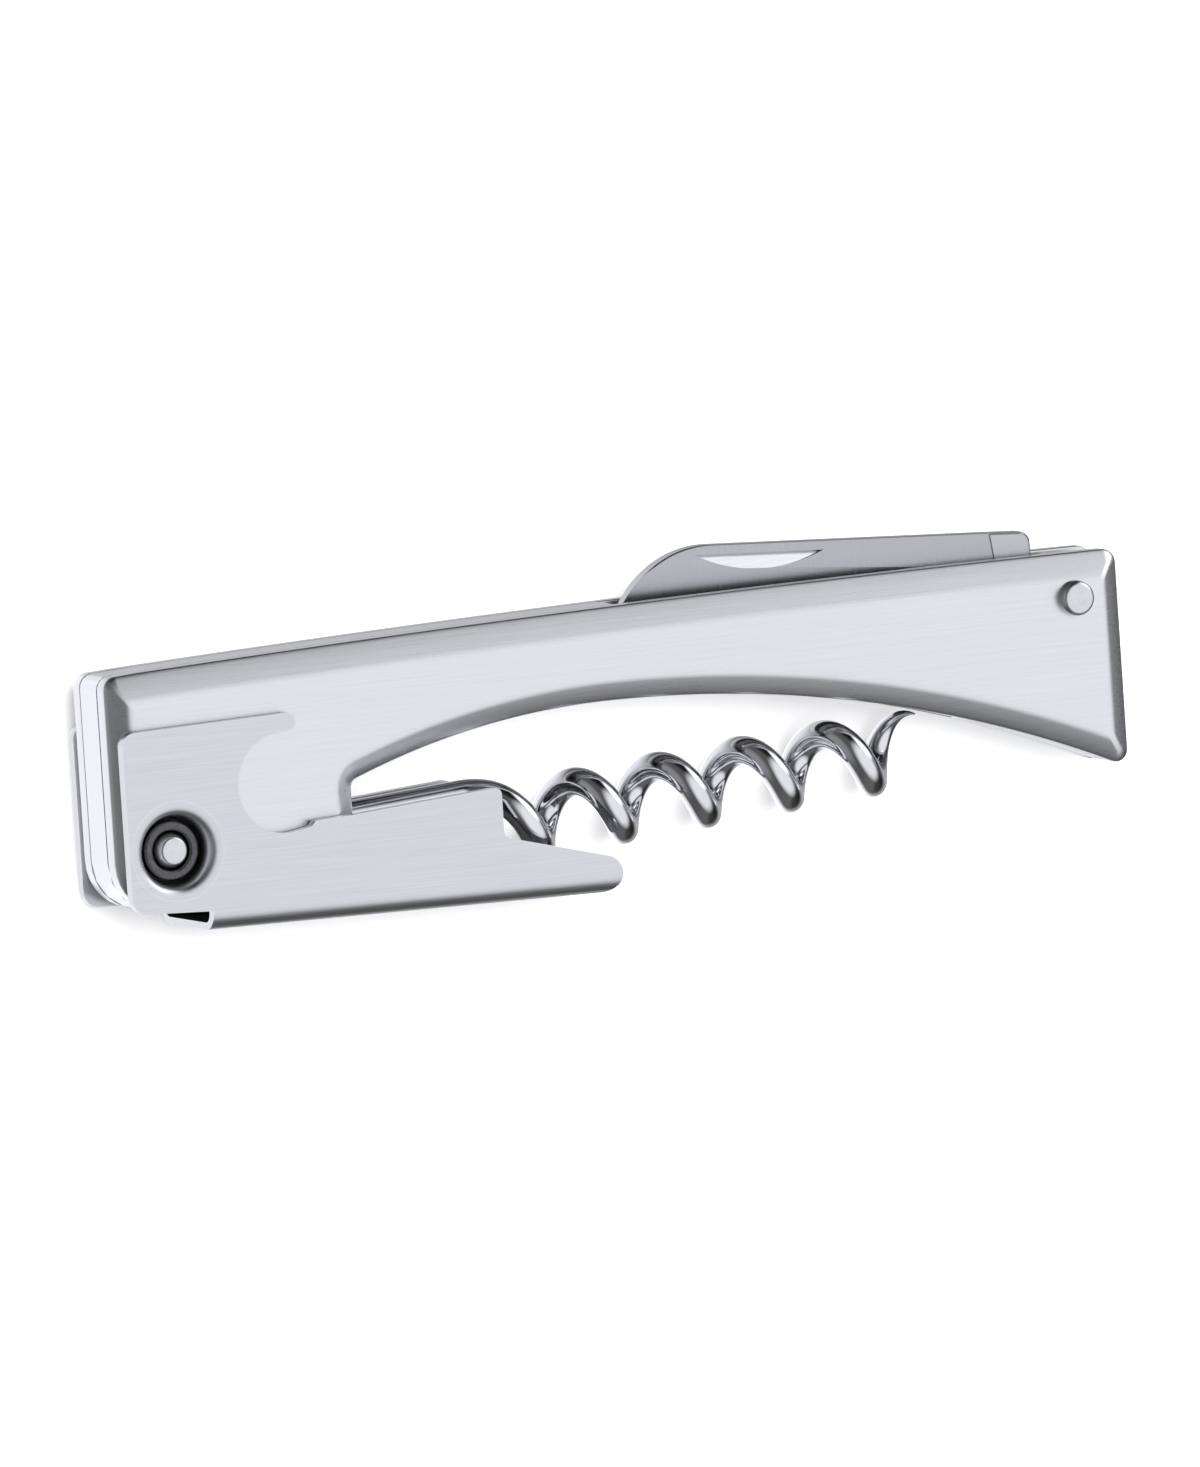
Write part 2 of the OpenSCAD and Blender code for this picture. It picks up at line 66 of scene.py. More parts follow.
PIVOT = middle_of("lever_pin")
RIVET = (middle_of("blade_rivet") - PIVOT) / MM
WORM_PIVOT = (middle_of("worm_pin") - PIVOT) / MM
print("blade rivet from the lever pin, mm:", RIVET)


# %% [markdown]
# ## Tools for outlines
# A pressed or cut sheet is described by its outline, and an outline is a chain of arcs. Angles
# are in degrees, and a line joins the end of one arc to the start of the next.

# %% Tools for outlines
def turned(angle, radius=1.0):
    return radius * math.cos(math.radians(angle)), radius * math.sin(math.radians(angle))


def arc(centre, radius, start, end, steps):
    points = []
    for i in range(steps + 1):
        x, y = turned(start + (end - start) * i / steps, radius)
        points.append((centre[0] + x, centre[1] + y))
    return points


def lifted(outline, z):
    return [(x, y, z) for x, y in outline]


# %% [markdown]
# ## Making meshes
# A mesh is made from millimetre points and moved to the frame in one step. A loft joins equal
# rings of points, which suits trays, wires and rivets alike. A slab is a loft of one outline at
# two heights, and a lathe turns a profile about an upright axis.

# %% Making meshes
ROUND_STEPS = 96
WELD = 0.001 * MM


def new_piece(name, vertices, faces):
    mesh = bpy.data.meshes.new(name)
    placed = [tuple(PIVOT + Vector(v) * MM) for v in vertices]
    mesh.from_pydata(placed, [], faces)
    mesh.validate()
    tidy = bmesh.new()
    tidy.from_mesh(mesh)
    bmesh.ops.recalc_face_normals(tidy, faces=tidy.faces)
    tidy.to_mesh(mesh)
    tidy.free()
    piece = bpy.data.objects.new(name, mesh)
    bpy.context.scene.collection.objects.link(piece)
    return piece


def loft(name, rings, capped=True):
    count = len(rings[0])
    vertices = [point for ring in rings for point in ring]
    faces = []
    for r in range(len(rings) - 1):
        for i in range(count):
            j = (i + 1) % count
            here = r * count
            above = here + count
            faces.append((here + i, here + j, above + j, above + i))
    if capped:
        faces.append(tuple(range(count))[::-1])
        top = (len(rings) - 1) * count
        faces.append(tuple(top + i for i in range(count)))
    return new_piece(name, vertices, faces)


def slab(name, outline, low, high):
    return loft(name, [lifted(outline, low), lifted(outline, high)])


def weld(piece):
    tidy = bmesh.new()
    tidy.from_mesh(piece.data)
    bmesh.ops.remove_doubles(tidy, verts=tidy.verts, dist=WELD)
    bmesh.ops.recalc_face_normals(tidy, faces=tidy.faces)
    tidy.to_mesh(piece.data)
    tidy.free()


def circle(centre, radius):
    return arc(centre, radius, 0, 360 - 360 / ROUND_STEPS, ROUND_STEPS - 1)


def lathe(name, profile, centre=(0.0, 0.0), ring=False):
    """Turns (radius, height) points about an upright axis. A ring's profile closes on itself."""
    rings = [lifted(circle(centre, radius), height) for radius, height in profile]
    if ring:
        rings.append(rings[0])
    piece = loft(name, rings, capped=not ring)
    if ring:
        weld(piece)
    return piece


# %% [markdown]
# ## Shaping meshes
# A cut is a boolean whose result is kept, so the finished piece carries no unseen helpers. Rounded
# edges matter most on polished steel, since each one catches a thin line of light. The back of
# the tool is the front mirrored, so a pair of pieces is drawn once.

# %% Shaping meshes
def keep_modifiers(piece):
    graph = bpy.context.evaluated_depsgraph_get()
    made = bpy.data.meshes.new_from_object(piece.evaluated_get(graph))
    piece.modifiers.clear()
    piece.data = made


def cut(piece, tool, operation="DIFFERENCE"):
    change = piece.modifiers.new("cut", "BOOLEAN")
    change.operation = operation
    change.solver = "EXACT"
    change.object = tool
    keep_modifiers(piece)
    bpy.data.objects.remove(tool)


def bore(piece, centre, radius, low, high):
    cut(piece, slab("bore", circle(centre, radius), low, high))


def soften(piece, width, segments, angle):
    edge = piece.modifiers.new("edges", "BEVEL")
    edge.width = width * MM
    edge.segments = segments
    edge.limit_method = "ANGLE"
    edge.angle_limit = math.radians(angle)
    edge.use_clamp_overlap = True
    keep_modifiers(piece)


def joined(name, pieces):
    """One piece from several shells that are one solid on the real thing."""
    whole = bmesh.new()
    for piece in pieces:
        whole.from_mesh(piece.data)
    mesh = bpy.data.meshes.new(name)
    whole.to_mesh(mesh)
    whole.free()
    for piece in pieces:
        bpy.data.objects.remove(piece)
    made = bpy.data.objects.new(name, mesh)
    bpy.context.scene.collection.objects.link(made)
    return made


def shade(piece, sharp_angle):
    piece.data.polygons.foreach_set("use_smooth", [True] * len(piece.data.polygons))
    piece.data.set_sharp_from_angle(angle=math.radians(sharp_angle))
    weights = piece.modifiers.new("flat faces stay flat", "WEIGHTED_NORMAL")
    weights.keep_sharp = True
    weights.weight = 100  # large faces decide the normals completely


def mirrored(piece, name):
    """The same piece on the other side of the middle plane."""
    mesh = piece.data.copy()
    for vertex in mesh.vertices:
        vertex.co.z = 2 * PIVOT.z - vertex.co.z
    mesh.flip_normals()
    other = bpy.data.objects.new(name, mesh)
    bpy.context.scene.collection.objects.link(other)
    return other


# %% [markdown]
# ## Nodes for steel
# All the steel is one metal with different finishes. Brushing is a noise stretched along the
# direction of the belt, which gives the surface long fine scratches: it moves the roughness a
# little and tilts the surface a very little. Edges that hands and tables rub are brighter.
# Curvature stored at the mesh's corners could find the edges too, but it smears across large flat
# faces, so the edges are found by comparing a softened normal with the true one.

# %% Nodes for steel
def node_of(tree, kind, **settings):
    node = tree.nodes.new(kind)
    for name, value in settings.items():
        setattr(node, name, value)
    return node


def stretched_noise(tree, coordinates, along, across, deep, detail):
    """Noise whose grain has these three sizes in millimetres along X, Y and Z."""
    mapping = node_of(tree, "ShaderNodeMapping")
    mapping.inputs["Scale"].default_value = (1 / (along * MM), 1 / (across * MM), 1 / (deep * MM))
    tree.links.new(coordinates, mapping.inputs["Vector"])
    noise = node_of(tree, "ShaderNodeTexNoise")
    noise.inputs["Scale"].default_value = 1.0
    noise.inputs["Detail"].default_value = detail
    noise.inputs["Roughness"].default_value = 0.6
    tree.links.new(mapping.outputs["Vector"], noise.inputs["Vector"])
    return noise.outputs["Fac"]


def ranged(tree, value, low, high, from_low=0.3, from_high=0.7):
    step = node_of(tree, "ShaderNodeMapRange", clamp=True)
    step.inputs["From Min"].default_value = from_low
    step.inputs["From Max"].default_value = from_high
    step.inputs["To Min"].default_value = low
    step.inputs["To Max"].default_value = high
    tree.links.new(value, step.inputs["Value"])
    return step.outputs["Result"]


def blend_colours(tree, share, first, second):
    mix = node_of(tree, "ShaderNodeMix", data_type="RGBA", blend_type="MIX")
    if hasattr(first, "is_linked"):
        tree.links.new(first, mix.inputs["A"])
    else:
        mix.inputs["A"].default_value = (*first, 1)
    mix.inputs["B"].default_value = (*second, 1)
    tree.links.new(share, mix.inputs["Factor"])
    return mix.outputs["Result"]


EDGE_WIDTH = 0.3 * MM


def rubbed_edges(tree, grain):
    """Where a softened normal parts from the true one there is an edge, worn unevenly."""
    soft = node_of(tree, "ShaderNodeBevel", samples=4)
    soft.inputs["Radius"].default_value = EDGE_WIDTH
    true = node_of(tree, "ShaderNodeNewGeometry").outputs["Normal"]
    agree = node_of(tree, "ShaderNodeVectorMath", operation="DOT_PRODUCT")
    tree.links.new(soft.outputs["Normal"], agree.inputs[0])
    tree.links.new(true, agree.inputs[1])
    edge = ranged(tree, agree.outputs["Value"], 0.6, 0.0, 0.78, 0.97)
    uneven = ranged(tree, grain, 0.7, 1.0)
    both = node_of(tree, "ShaderNodeMath", operation="MULTIPLY")
    tree.links.new(edge, both.inputs[0])
    tree.links.new(uneven, both.inputs[1])
    return both.outputs["Value"]


# %% [markdown]
# ## One recipe for every steel
# Two tones are mixed along the grain, and a second, broad noise keeps large faces from being
# perfectly even. Shade is painted into the corners and seams: the colour darkens where nearby
# surfaces keep the light out.

# %% One recipe for every steel
CLOUDS = (22, 7, 7)


def steel(name, dark, light, roughness, grain=(14, 0.12, 0.12), bump=0.012, spread=0.05,
          worn=None, painted_shade=0.5, reach=1.2, open_at=0.75):
    """Grain, bump and reach are in millimetres. Painted shade is how dark the shade painted into
    the closest corners gets.
    """
    material = bpy.data.materials.new(name)
    material.use_nodes = True
    tree = material.node_tree
    shader = tree.nodes["Principled BSDF"]
    shader.inputs["Metallic"].default_value = 1.0
    place = node_of(tree, "ShaderNodeTexCoord").outputs["Object"]
    brushed = stretched_noise(tree, place, *grain, detail=4.0)
    broad = stretched_noise(tree, place, *CLOUDS, detail=2.0)
    colour = blend_colours(tree, ranged(tree, brushed, 0, 1), dark, light)
    clouds = ranged(tree, broad, 0.0, 0.35)
    colour = blend_colours(tree, clouds, colour, tuple(0.5 * (a + b) for a, b in zip(dark, light)))
    if worn:
        colour = blend_colours(tree, rubbed_edges(tree, brushed), colour, worn)
    # Painted shade: the colour darkens towards the closest corners and seams, where nearby surfaces
    # keep the light out.
    if painted_shade:
        near = node_of(tree, "ShaderNodeAmbientOcclusion", samples=4)
        near.inputs["Distance"].default_value = reach * MM
        shadow = ranged(tree, near.outputs["AO"], painted_shade, 0.0, 0.05, open_at)
        colour = blend_colours(tree, shadow, colour, tuple(0.25 * c for c in dark))
    tree.links.new(colour, shader.inputs["Base Color"])
    rough = ranged(tree, brushed, max(0.02, roughness - spread), roughness + spread, 0.25, 0.75)
    tree.links.new(rough, shader.inputs["Roughness"])
    if bump:
        relief = node_of(tree, "ShaderNodeBump")
        relief.inputs["Strength"].default_value = 0.5
        relief.inputs["Distance"].default_value = bump * MM
        tree.links.new(brushed, relief.inputs["Height"])
        tree.links.new(relief.outputs["Normal"], shader.inputs["Normal"])
    return material


# %% [markdown]
# ## The steels
# The covers and the lever are brushed along their length, the blade is ground across it, and the
# worm is polished. The pins and washers are bright turned stock, and the collars are blackened.

# %% The steels
# Shade is painted into the corners of every steel here except the blade, tang, nick and worm; the
# lever's painted shade reaches far but darkens only the deepest places, the dish and the inside of
# the channel.
COVER_STEEL = steel("brushed cover steel", (0.72, 0.725, 0.745), (0.79, 0.795, 0.815), 0.29,
                    grain=(14, 0.16, 0.4), bump=0.0015, spread=0.03,
                    worn=(0.86, 0.86, 0.88), painted_shade=0.35, reach=0.8)
LEVER_STEEL = steel("satin lever steel", (0.62, 0.625, 0.65), (0.71, 0.715, 0.735), 0.31,
                    grain=(9, 0.16, 0.16), worn=(0.84, 0.84, 0.86),
                    painted_shade=0.6, reach=5.0, open_at=0.16)
BLADE_STEEL = steel("ground blade steel", (0.44, 0.445, 0.465), (0.49, 0.495, 0.515), 0.30,
                    grain=(0.14, 7, 7), bump=0.004, painted_shade=0.0)
TANG_STEEL = steel("bright tang steel", (0.50, 0.505, 0.525), (0.56, 0.565, 0.585), 0.30,
                   grain=(0.14, 7, 7), bump=0.0, painted_shade=0.0)
# The nick's steel is near white: a painted highlight on the nick's tilted faces.
NICK_HIGHLIGHT_STEEL = steel("nick steel with painted highlight", (0.90, 0.90, 0.92), (0.97, 0.97, 0.98), 0.22,
                   grain=(3, 0.2, 0.2), bump=0.0, painted_shade=0.0)
SPACER_STEEL = steel("ground spacer steel", (0.74, 0.745, 0.765), (0.84, 0.845, 0.865), 0.30,
                     grain=(8, 0.2, 0.10))
LINER_STEEL = steel("cold rolled liner", (0.40, 0.40, 0.42), (0.50, 0.50, 0.52), 0.42)
SPRING_STEEL = steel("tempered spring steel", (0.34, 0.35, 0.38), (0.44, 0.45, 0.48), 0.36)
WORM_STEEL = steel("polished worm steel", (0.70, 0.70, 0.73), (0.78, 0.78, 0.81), 0.09,
                   grain=(3, 3, 3), bump=0.0, spread=0.035, painted_shade=0.0)
PIN_STEEL = steel("bright pin steel", (0.63, 0.635, 0.66), (0.72, 0.725, 0.74), 0.24,
                  grain=(0.9, 0.9, 0.9), bump=0.0)
COLLAR_STEEL = steel("dark collar steel", (0.075, 0.075, 0.083), (0.15, 0.15, 0.16), 0.33,
                     grain=(0.4, 0.4, 0.4), bump=0.04)
WASHER_BRASS = steel("washer brass", (0.50, 0.38, 0.18), (0.66, 0.52, 0.28), 0.35,
                     grain=(1.2, 1.2, 0.3))


print("steels:", len(bpy.data.materials))


# %% [markdown]
# ## Putting a piece in the frame
# A finished piece gets its steel and the body it moves with, and the CAD node that it stands for
# is hidden.

# %% Putting a piece in the frame
def dress(piece, material, body, node):
    piece.data.materials.clear()
    piece.data.materials.append(material)
    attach(piece, body)
    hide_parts(node)
    print(piece.name, "faces:", len(piece.data.polygons))


# %% [markdown]
# ## The handle's outline
# The handle is a long bar with an almost straight back. A deep arch leaves a foot at the left end
# for the lever and worm, and a slanting lip at the right. The outline can be drawn inward by any
# amount, and every corner keeps the same number of points, so a bevel is two outlines joined.
# The arch is two arcs that meet at its crown. The slope along the back is wider than the others,
# because the sheet is drawn further there.

# %% The handle's outline
LEFT, RIGHT = -5.6, 104.4
BACK_HEIGHT, BACK_CROWN, BACK_RADIUS = 19.1, 85.0, 2400.0
ARCH_HEIGHT, ARCH_CROWN = 9.6, 48.0
ARCH_LEFT_RADIUS, ARCH_RIGHT_RADIUS = 80.0, 135.0
FOOT_RIGHT, FOOT_LOW = 20.2, -6.0
HEEL, BACK_CORNER, TOE, LIP, FILLET = 5.0, 1.4, 1.0, 1.2, 1.0
LEAST_CORNER = 0.45
BACK_EXTRA, BACK_EXTRA_START = 0.3, 0.1
LEFT_ARCH_END, RIGHT_ARCH_START = 90.4, 90


def back_y(x):
    return BACK_HEIGHT - BACK_RADIUS + math.sqrt(BACK_RADIUS**2 - (x - BACK_CROWN) ** 2)


def handle_outline(inset, steps=8, long_steps=48):
    back_inset = inset + BACK_EXTRA * max(0.0, inset - BACK_EXTRA_START)

    def corner(radius):
        return max(radius - inset, LEAST_CORNER)

    left, right, low = LEFT + inset, RIGHT - inset, FOOT_LOW + inset
    heel, back, toe, lip = corner(HEEL), corner(BACK_CORNER), corner(TOE), corner(LIP)
    foot, fillet = FOOT_RIGHT - inset, FILLET + inset
    left_arch = (ARCH_CROWN, ARCH_HEIGHT - ARCH_LEFT_RADIUS)
    right_arch = (ARCH_CROWN, ARCH_HEIGHT - ARCH_RIGHT_RADIUS)
    fillet_x = foot + fillet
    fillet_reach = ARCH_LEFT_RADIUS + inset - fillet
    fillet_y = left_arch[1] + math.sqrt(fillet_reach**2 - (fillet_x - ARCH_CROWN) ** 2)
    fillet_turn = math.degrees(math.atan2(fillet_y - left_arch[1], fillet_x - ARCH_CROWN))
    lip_x = right - lip
    lip_reach = ARCH_RIGHT_RADIUS + inset + lip
    lip_y = right_arch[1] + math.sqrt(lip_reach**2 - (lip_x - ARCH_CROWN) ** 2)
    lip_turn = math.degrees(math.atan2(lip_y - right_arch[1], lip_x - ARCH_CROWN))
    points = arc((left + heel, low + heel), heel, 180, 270, steps)
    points += arc((foot - toe, low + toe), toe, 270, 360, steps)
    points += arc((fillet_x, fillet_y), fillet, 180, fillet_turn, steps)
    points += arc(left_arch, ARCH_LEFT_RADIUS + inset, fillet_turn - 0.5, LEFT_ARCH_END, long_steps)
    points += arc(right_arch, ARCH_RIGHT_RADIUS + inset, RIGHT_ARCH_START, lip_turn + 0.4,
                  long_steps)
    points += arc((lip_x, lip_y), lip, lip_turn + 180, 360, steps)
    points += arc((right - back, back_y(right) - back_inset - back), back, 0, 90, steps)
    for i in range(1, long_steps):
        x = right - back + (left - right + 2 * back) * i / long_steps
        points.append((x, back_y(x) - back_inset))
    points += arc((left + back, back_y(left) - back_inset - back), back, 90, 180, steps)
    return points


# %% [markdown]
# ## The two covers
# Each cover is a tray pressed from sheet: an upright flange, a soft knee, a wide bevel and a flat
# face. The knee and the face's edge are rounded by adding rings close together, because a press
# never makes a sharp fold, and the rim is rounded too, which leaves a fine groove beside the
# spacer. The foot has a round window where the lever's dish passes through.

# %% The two covers
RIM, FLANGE_TOP, FACE = 1.93, 3.7, 5.0
POCKET_BEVEL, SHEET = 1.5, 0.75
WINDOW, RIVET_BORE = 4.5, 1.55
THROUGH = 8


def cover_rings():
    """Rings from the pocket's floor round the rim to the face, as (inset, height)."""
    profile = [(0.2, RIM), (0.07, RIM + 0.04), (0.0, RIM + 0.15), (0.0, FLANGE_TOP - 0.34),
               (0.03, FLANGE_TOP - 0.2), (0.12, FLANGE_TOP - 0.05), (0.32, FLANGE_TOP + 0.13),
               (1.0, FLANGE_TOP + 0.57), (1.7, FLANGE_TOP + 0.98), (1.95, FLANGE_TOP + 1.11),
               (2.2, FLANGE_TOP + 1.2), (2.5, FLANGE_TOP + 1.265), (2.8, FACE), (3.1, FACE)]
    pocket = [(POCKET_BEVEL, FACE - SHEET), (SHEET, FLANGE_TOP - 0.3), (SHEET, RIM)]
    return [lifted(handle_outline(inset), z) for inset, z in pocket + profile]


front_cover = loft("cover_front", cover_rings())
bore(front_cover, (0, 0), WINDOW, 0, THROUGH)
bore(front_cover, (RIVET.x, RIVET.y), RIVET_BORE, 0, THROUGH)
back_cover = mirrored(front_cover, "cover_back")
for cover in (front_cover, back_cover):
    shade(cover, 30)
dress(front_cover, COVER_STEEL, "handle", "front_cover")
dress(back_cover, COVER_STEEL, "handle", "back_cover")

# %% [markdown]
# ## The lever
# The lever is one sheet folded into a channel. Seen from the side it has a tall cheek, a cap
# opener's hooked mouth, a beam, a step that rests on the bottle's rim and a rounded tip. The
# mouth's lower jaw is a few short straights, since it is filed after the blank is cut.

# %% The lever's outline
CHEEK_IN, CHEEK_OUT = 5.2, 6.3
WEB_DEPTH, WEB_TILT, WEB_START = 8.1, 1.1, 3.4
LEVER_TIP, TIP_RADIUS, TIP_SLOPE = 47.6, 1.9, 15.0
LIP_X, LIP_FILLET = 35.05, 0.8
BEAM_HEIGHT, BEAM_CORNER = 2.65, 0.7
OPENER, OPENER_RADIUS = (11.9, 5.55), 4.95
JAW_END, JAW_CORNER = 13.5, 0.9
CHEEK_LEFT, CHEEK_TOP, CHEEK_CORNER = -5.2, 12.0, 1.3
BLANK_CORNER, BLANK_CORNER_RADIUS = (-3.6, -4.2), 1.6
CHEEK_LOW, BELOW_WEB = -6.2, 1.4
LOWER_JAW = [(19.0, 1.62), (15.6, 1.5), (14.9, 1.45), (14.5, 0.98), (13.6, 0.8)]


def lever_outline():
    tilt = math.radians(WEB_TILT)
    tip_x = LEVER_TIP - TIP_RADIUS
    tip = (tip_x, (TIP_RADIUS - WEB_DEPTH) / math.cos(tilt) - tip_x * math.tan(tilt))
    slope = math.tan(math.radians(TIP_SLOPE))
    shoulder = (tip[0] + turned(90 - TIP_SLOPE, TIP_RADIUS)[0],
                tip[1] + turned(90 - TIP_SLOPE, TIP_RADIUS)[1])
    notch_x = LIP_X + LIP_FILLET
    notch_y = shoulder[1] + (shoulder[0] - notch_x) * slope
    notch_y += LIP_FILLET / math.cos(math.radians(TIP_SLOPE))
    jaw_y = OPENER[1] + OPENER_RADIUS + JAW_CORNER
    points = arc(BLANK_CORNER, BLANK_CORNER_RADIUS, 180, 270, 10)
    points += [(WEB_START, CHEEK_LOW), (WEB_START, -WEB_DEPTH - BELOW_WEB)]
    points += arc(tip, TIP_RADIUS, -90 - WEB_TILT, 90 - TIP_SLOPE, 24)
    points += arc((notch_x, notch_y), LIP_FILLET, 270 - TIP_SLOPE, 180, 8)
    points += arc((LIP_X - BEAM_CORNER, BEAM_HEIGHT - BEAM_CORNER), BEAM_CORNER, 0, 90, 8)
    points += LOWER_JAW
    points += arc(OPENER, OPENER_RADIUS, -84, -270, 56)
    points += arc((JAW_END - JAW_CORNER, jaw_y), JAW_CORNER, -90, 90, 12)
    points += arc((CHEEK_LEFT + CHEEK_CORNER, CHEEK_TOP - CHEEK_CORNER), CHEEK_CORNER, 92, 180, 10)
    return points


# %% [markdown]
# ## The lever's channel
# Folding is imitated by cutting: the blank is a thick block with the lever's outline, and one
# trough is kept of it while a narrower trough is taken out. Both have round lower corners, and
# both lean as the web does, so the bends come out round along their whole length.

# %% The lever's channel
WEB_SHEET = 0.7
BEND_OUT, BEND_IN = 2.1, 1.0
CHANNEL_TOP = 30
CHANNEL_ENDS = (-12.0, 60.0)


def channel(name, half_width, depth, bend, top):
    """A long trough with round lower corners, tilted as the web is."""
    section = arc((-half_width + bend, -depth + bend), bend, 180, 270, 14)
    section += arc((half_width - bend, -depth + bend), bend, 270, 360, 14)
    section += [(half_width, top), (-half_width, top)]
    cos, sin = math.cos(math.radians(WEB_TILT)), math.sin(math.radians(WEB_TILT))
    rings = []
    for x in CHANNEL_ENDS:
        rings.append([(x * cos + y * sin, y * cos - x * sin, z) for z, y in section])
    return loft(name, rings)


lever = slab("lever_channel", lever_outline(), -CHEEK_OUT - 1, CHEEK_OUT + 1)
cut(lever, channel("outside", CHEEK_OUT, WEB_DEPTH, BEND_OUT, CHANNEL_TOP), "INTERSECT")
cut(lever, channel("inside", CHEEK_IN, WEB_DEPTH - WEB_SHEET, BEND_IN, CHANNEL_TOP + 1))
soften(lever, 0.22, 3, 50)
print("lever channel faces:", len(lever.data.polygons))

# %% [markdown]
# ## The dish round the pivot
# The dish sinks nearly three millimetres, so that the pin's end and its collar stay below the
# cheek's face. Its profile starts flat, rolls over the rim, runs down a steep wall and rolls out
# again into the floor, as a punch leaves it. A hole of the same size is first cut in the cheek.

# %% The dish round the pivot
DISH_OUTER = 4.9
DISH_FLOOR, DISH_FLOOR_RADIUS, DISH_SHEET = 3.6, 3.02, 0.7
PIN_BORE = 1.95


def dish_profile():
    """The dish's face from the rim to the bore, and then its underside back to the rim."""
    outer = [(DISH_OUTER, CHEEK_OUT), (4.45, CHEEK_OUT - 0.04), (4.25, CHEEK_OUT - 0.09),
             (4.05, CHEEK_OUT - 0.17), (3.9, CHEEK_OUT - 0.26), (3.77, CHEEK_OUT - 0.38),
             (3.65, CHEEK_OUT - 0.56), (3.54, CHEEK_OUT - 0.8), (3.44, CHEEK_OUT - 1.12),
             (3.35, CHEEK_OUT - 1.5), (3.27, CHEEK_OUT - 1.95), (3.2, DISH_FLOOR + 0.3),
             (3.12, DISH_FLOOR + 0.1), (DISH_FLOOR_RADIUS, DISH_FLOOR + 0.02),
             (2.9, DISH_FLOOR), (PIN_BORE, DISH_FLOOR)]
    inner = [(PIN_BORE, DISH_FLOOR - DISH_SHEET), (3.45, DISH_FLOOR - DISH_SHEET),
             (3.66, DISH_FLOOR - 0.5), (3.85, DISH_FLOOR + 0.5), (4.1, DISH_FLOOR + 1.2),
             (4.35, DISH_FLOOR + 1.5), (DISH_OUTER, CHEEK_IN)]
    return outer + inner


bore(lever, (0, 0), DISH_OUTER, 0, THROUGH)
bore(lever, (0, 0), DISH_OUTER, -THROUGH, 0)
front_dish = lathe("dish", dish_profile(), ring=True)
back_dish = mirrored(front_dish, "dish_back")
lever = joined("lever_channel", [lever, front_dish, back_dish])
shade(lever, 40)
dress(lever, LEVER_STEEL, "lever_arm", "lever")

# %% [markdown]
# ## The lever pin and its collars
# The pin's ends are turned down to a blunt cone. A dark rolled collar sits round each end on the
# dish's floor, and its top edge is a half circle drawn out to the collar's width.

# %% The lever pin and its collars
PIN, PIN_TOP = 1.9, 5.5
COLLAR, COLLAR_BORE, COLLAR_HEIGHT, COLLAR_ROUND = 2.95, 1.96, 1.25, 0.33
COLLAR_LIFT = 0.05


def both_ends(profile):
    """The same profile below the middle plane and above it."""
    return [(radius, -height) for radius, height in reversed(profile)] + profile


pin_end = [(PIN, PIN_TOP - 1.35), (PIN - 0.02, PIN_TOP - 1.15), (PIN - 0.12, PIN_TOP - 0.95),
           (1.42, PIN_TOP - 0.22), (1.33, PIN_TOP - 0.08), (1.2, PIN_TOP - 0.01), (0.9, PIN_TOP)]
lever_pin = lathe("lever_pin_ends", both_ends(pin_end))
shade(lever_pin, 50)
dress(lever_pin, PIN_STEEL, "handle", "lever_pin")


def collar_profile():
    low = DISH_FLOOR + COLLAR_LIFT
    middle = (COLLAR_BORE + COLLAR) / 2
    half = (COLLAR - COLLAR_BORE) / 2 - COLLAR_ROUND
    profile = [(COLLAR, low)]
    for angle in range(0, 181, 20):
        x, z = turned(angle, COLLAR_ROUND)
        side = half if x > 0 else -half
        profile.append((middle + side + x, low + COLLAR_HEIGHT - COLLAR_ROUND + z))
    profile.append((COLLAR_BORE, low))
    return profile


front_collar = lathe("collar_front", collar_profile(), ring=True)
back_collar = mirrored(front_collar, "collar_behind")
for collar, side in ((front_collar, "front"), (back_collar, "back")):
    shade(collar, 50)
    dress(collar, COLLAR_STEEL, "handle", "lever_collar_" + side)

# %% [markdown]
# ## The worm
# The worm is a single wire. Its straight shank leaves the foot and bends gradually into a
# right-handed coil, whose angle grows slowly at first and then at an even rate. The last half turn
# is ground to a point that leans a little outward, which is how it starts cleanly in a cork.

# %% The worm's path
WIRE, COIL, PITCH = 1.45, 4.2, 9.1
SHANK, TURNS, BEND_TURNS = 20.7, 5.05, 0.8
SHANK_OFFSET, SETTLE, TAPER, POINT = 3.6, 1.3, 0.5, 0.08
POINT_LIFT = 0.5
COIL_RUN = TURNS + BEND_TURNS / 2


def wire_radius(turn):
    left = max(0.0, min(1.0, (COIL_RUN - turn) / TAPER))
    return POINT + (WIRE - POINT) * math.sin(math.radians(90 * left))


def coil_reach(turn):
    settled = min(1.0, turn / SETTLE)
    ease = settled * settled * (3 - 2 * settled)
    reach = COIL - WIRE + POINT_LIFT * (WIRE - wire_radius(turn))
    return SHANK_OFFSET + (reach - SHANK_OFFSET) * ease


def coil_angle(turn):
    if turn < BEND_TURNS:
        return 180 * turn * turn / BEND_TURNS
    return 360 * turn - 180 * BEND_TURNS


def coil_point(turn):
    y, z = turned(coil_angle(turn), coil_reach(turn))
    return Vector((SHANK + PITCH * turn, y - SHANK_OFFSET, z))


# %% [markdown]
# ## The worm's wire and eye
# The wire is a loft of circles set square to its path. Each one is turned so that its first point
# faces out from the coil's axis, which keeps the surface from twisting. A round eye turns on the
# hidden pin.

# %% The worm's wire and eye
WORM_TILT = 3.8
SIDES, RINGS_PER_TURN = 28, 60
SHANK_STOPS = (2.0, 8.0, 14.0, SHANK - 1)
NUDGE = 0.002
EYE, EYE_BORE, EYE_HALF = 3.2, 1.56, 1.45
EYE_BEVEL, EYE_BORE_BEVEL = 0.15, 0.1


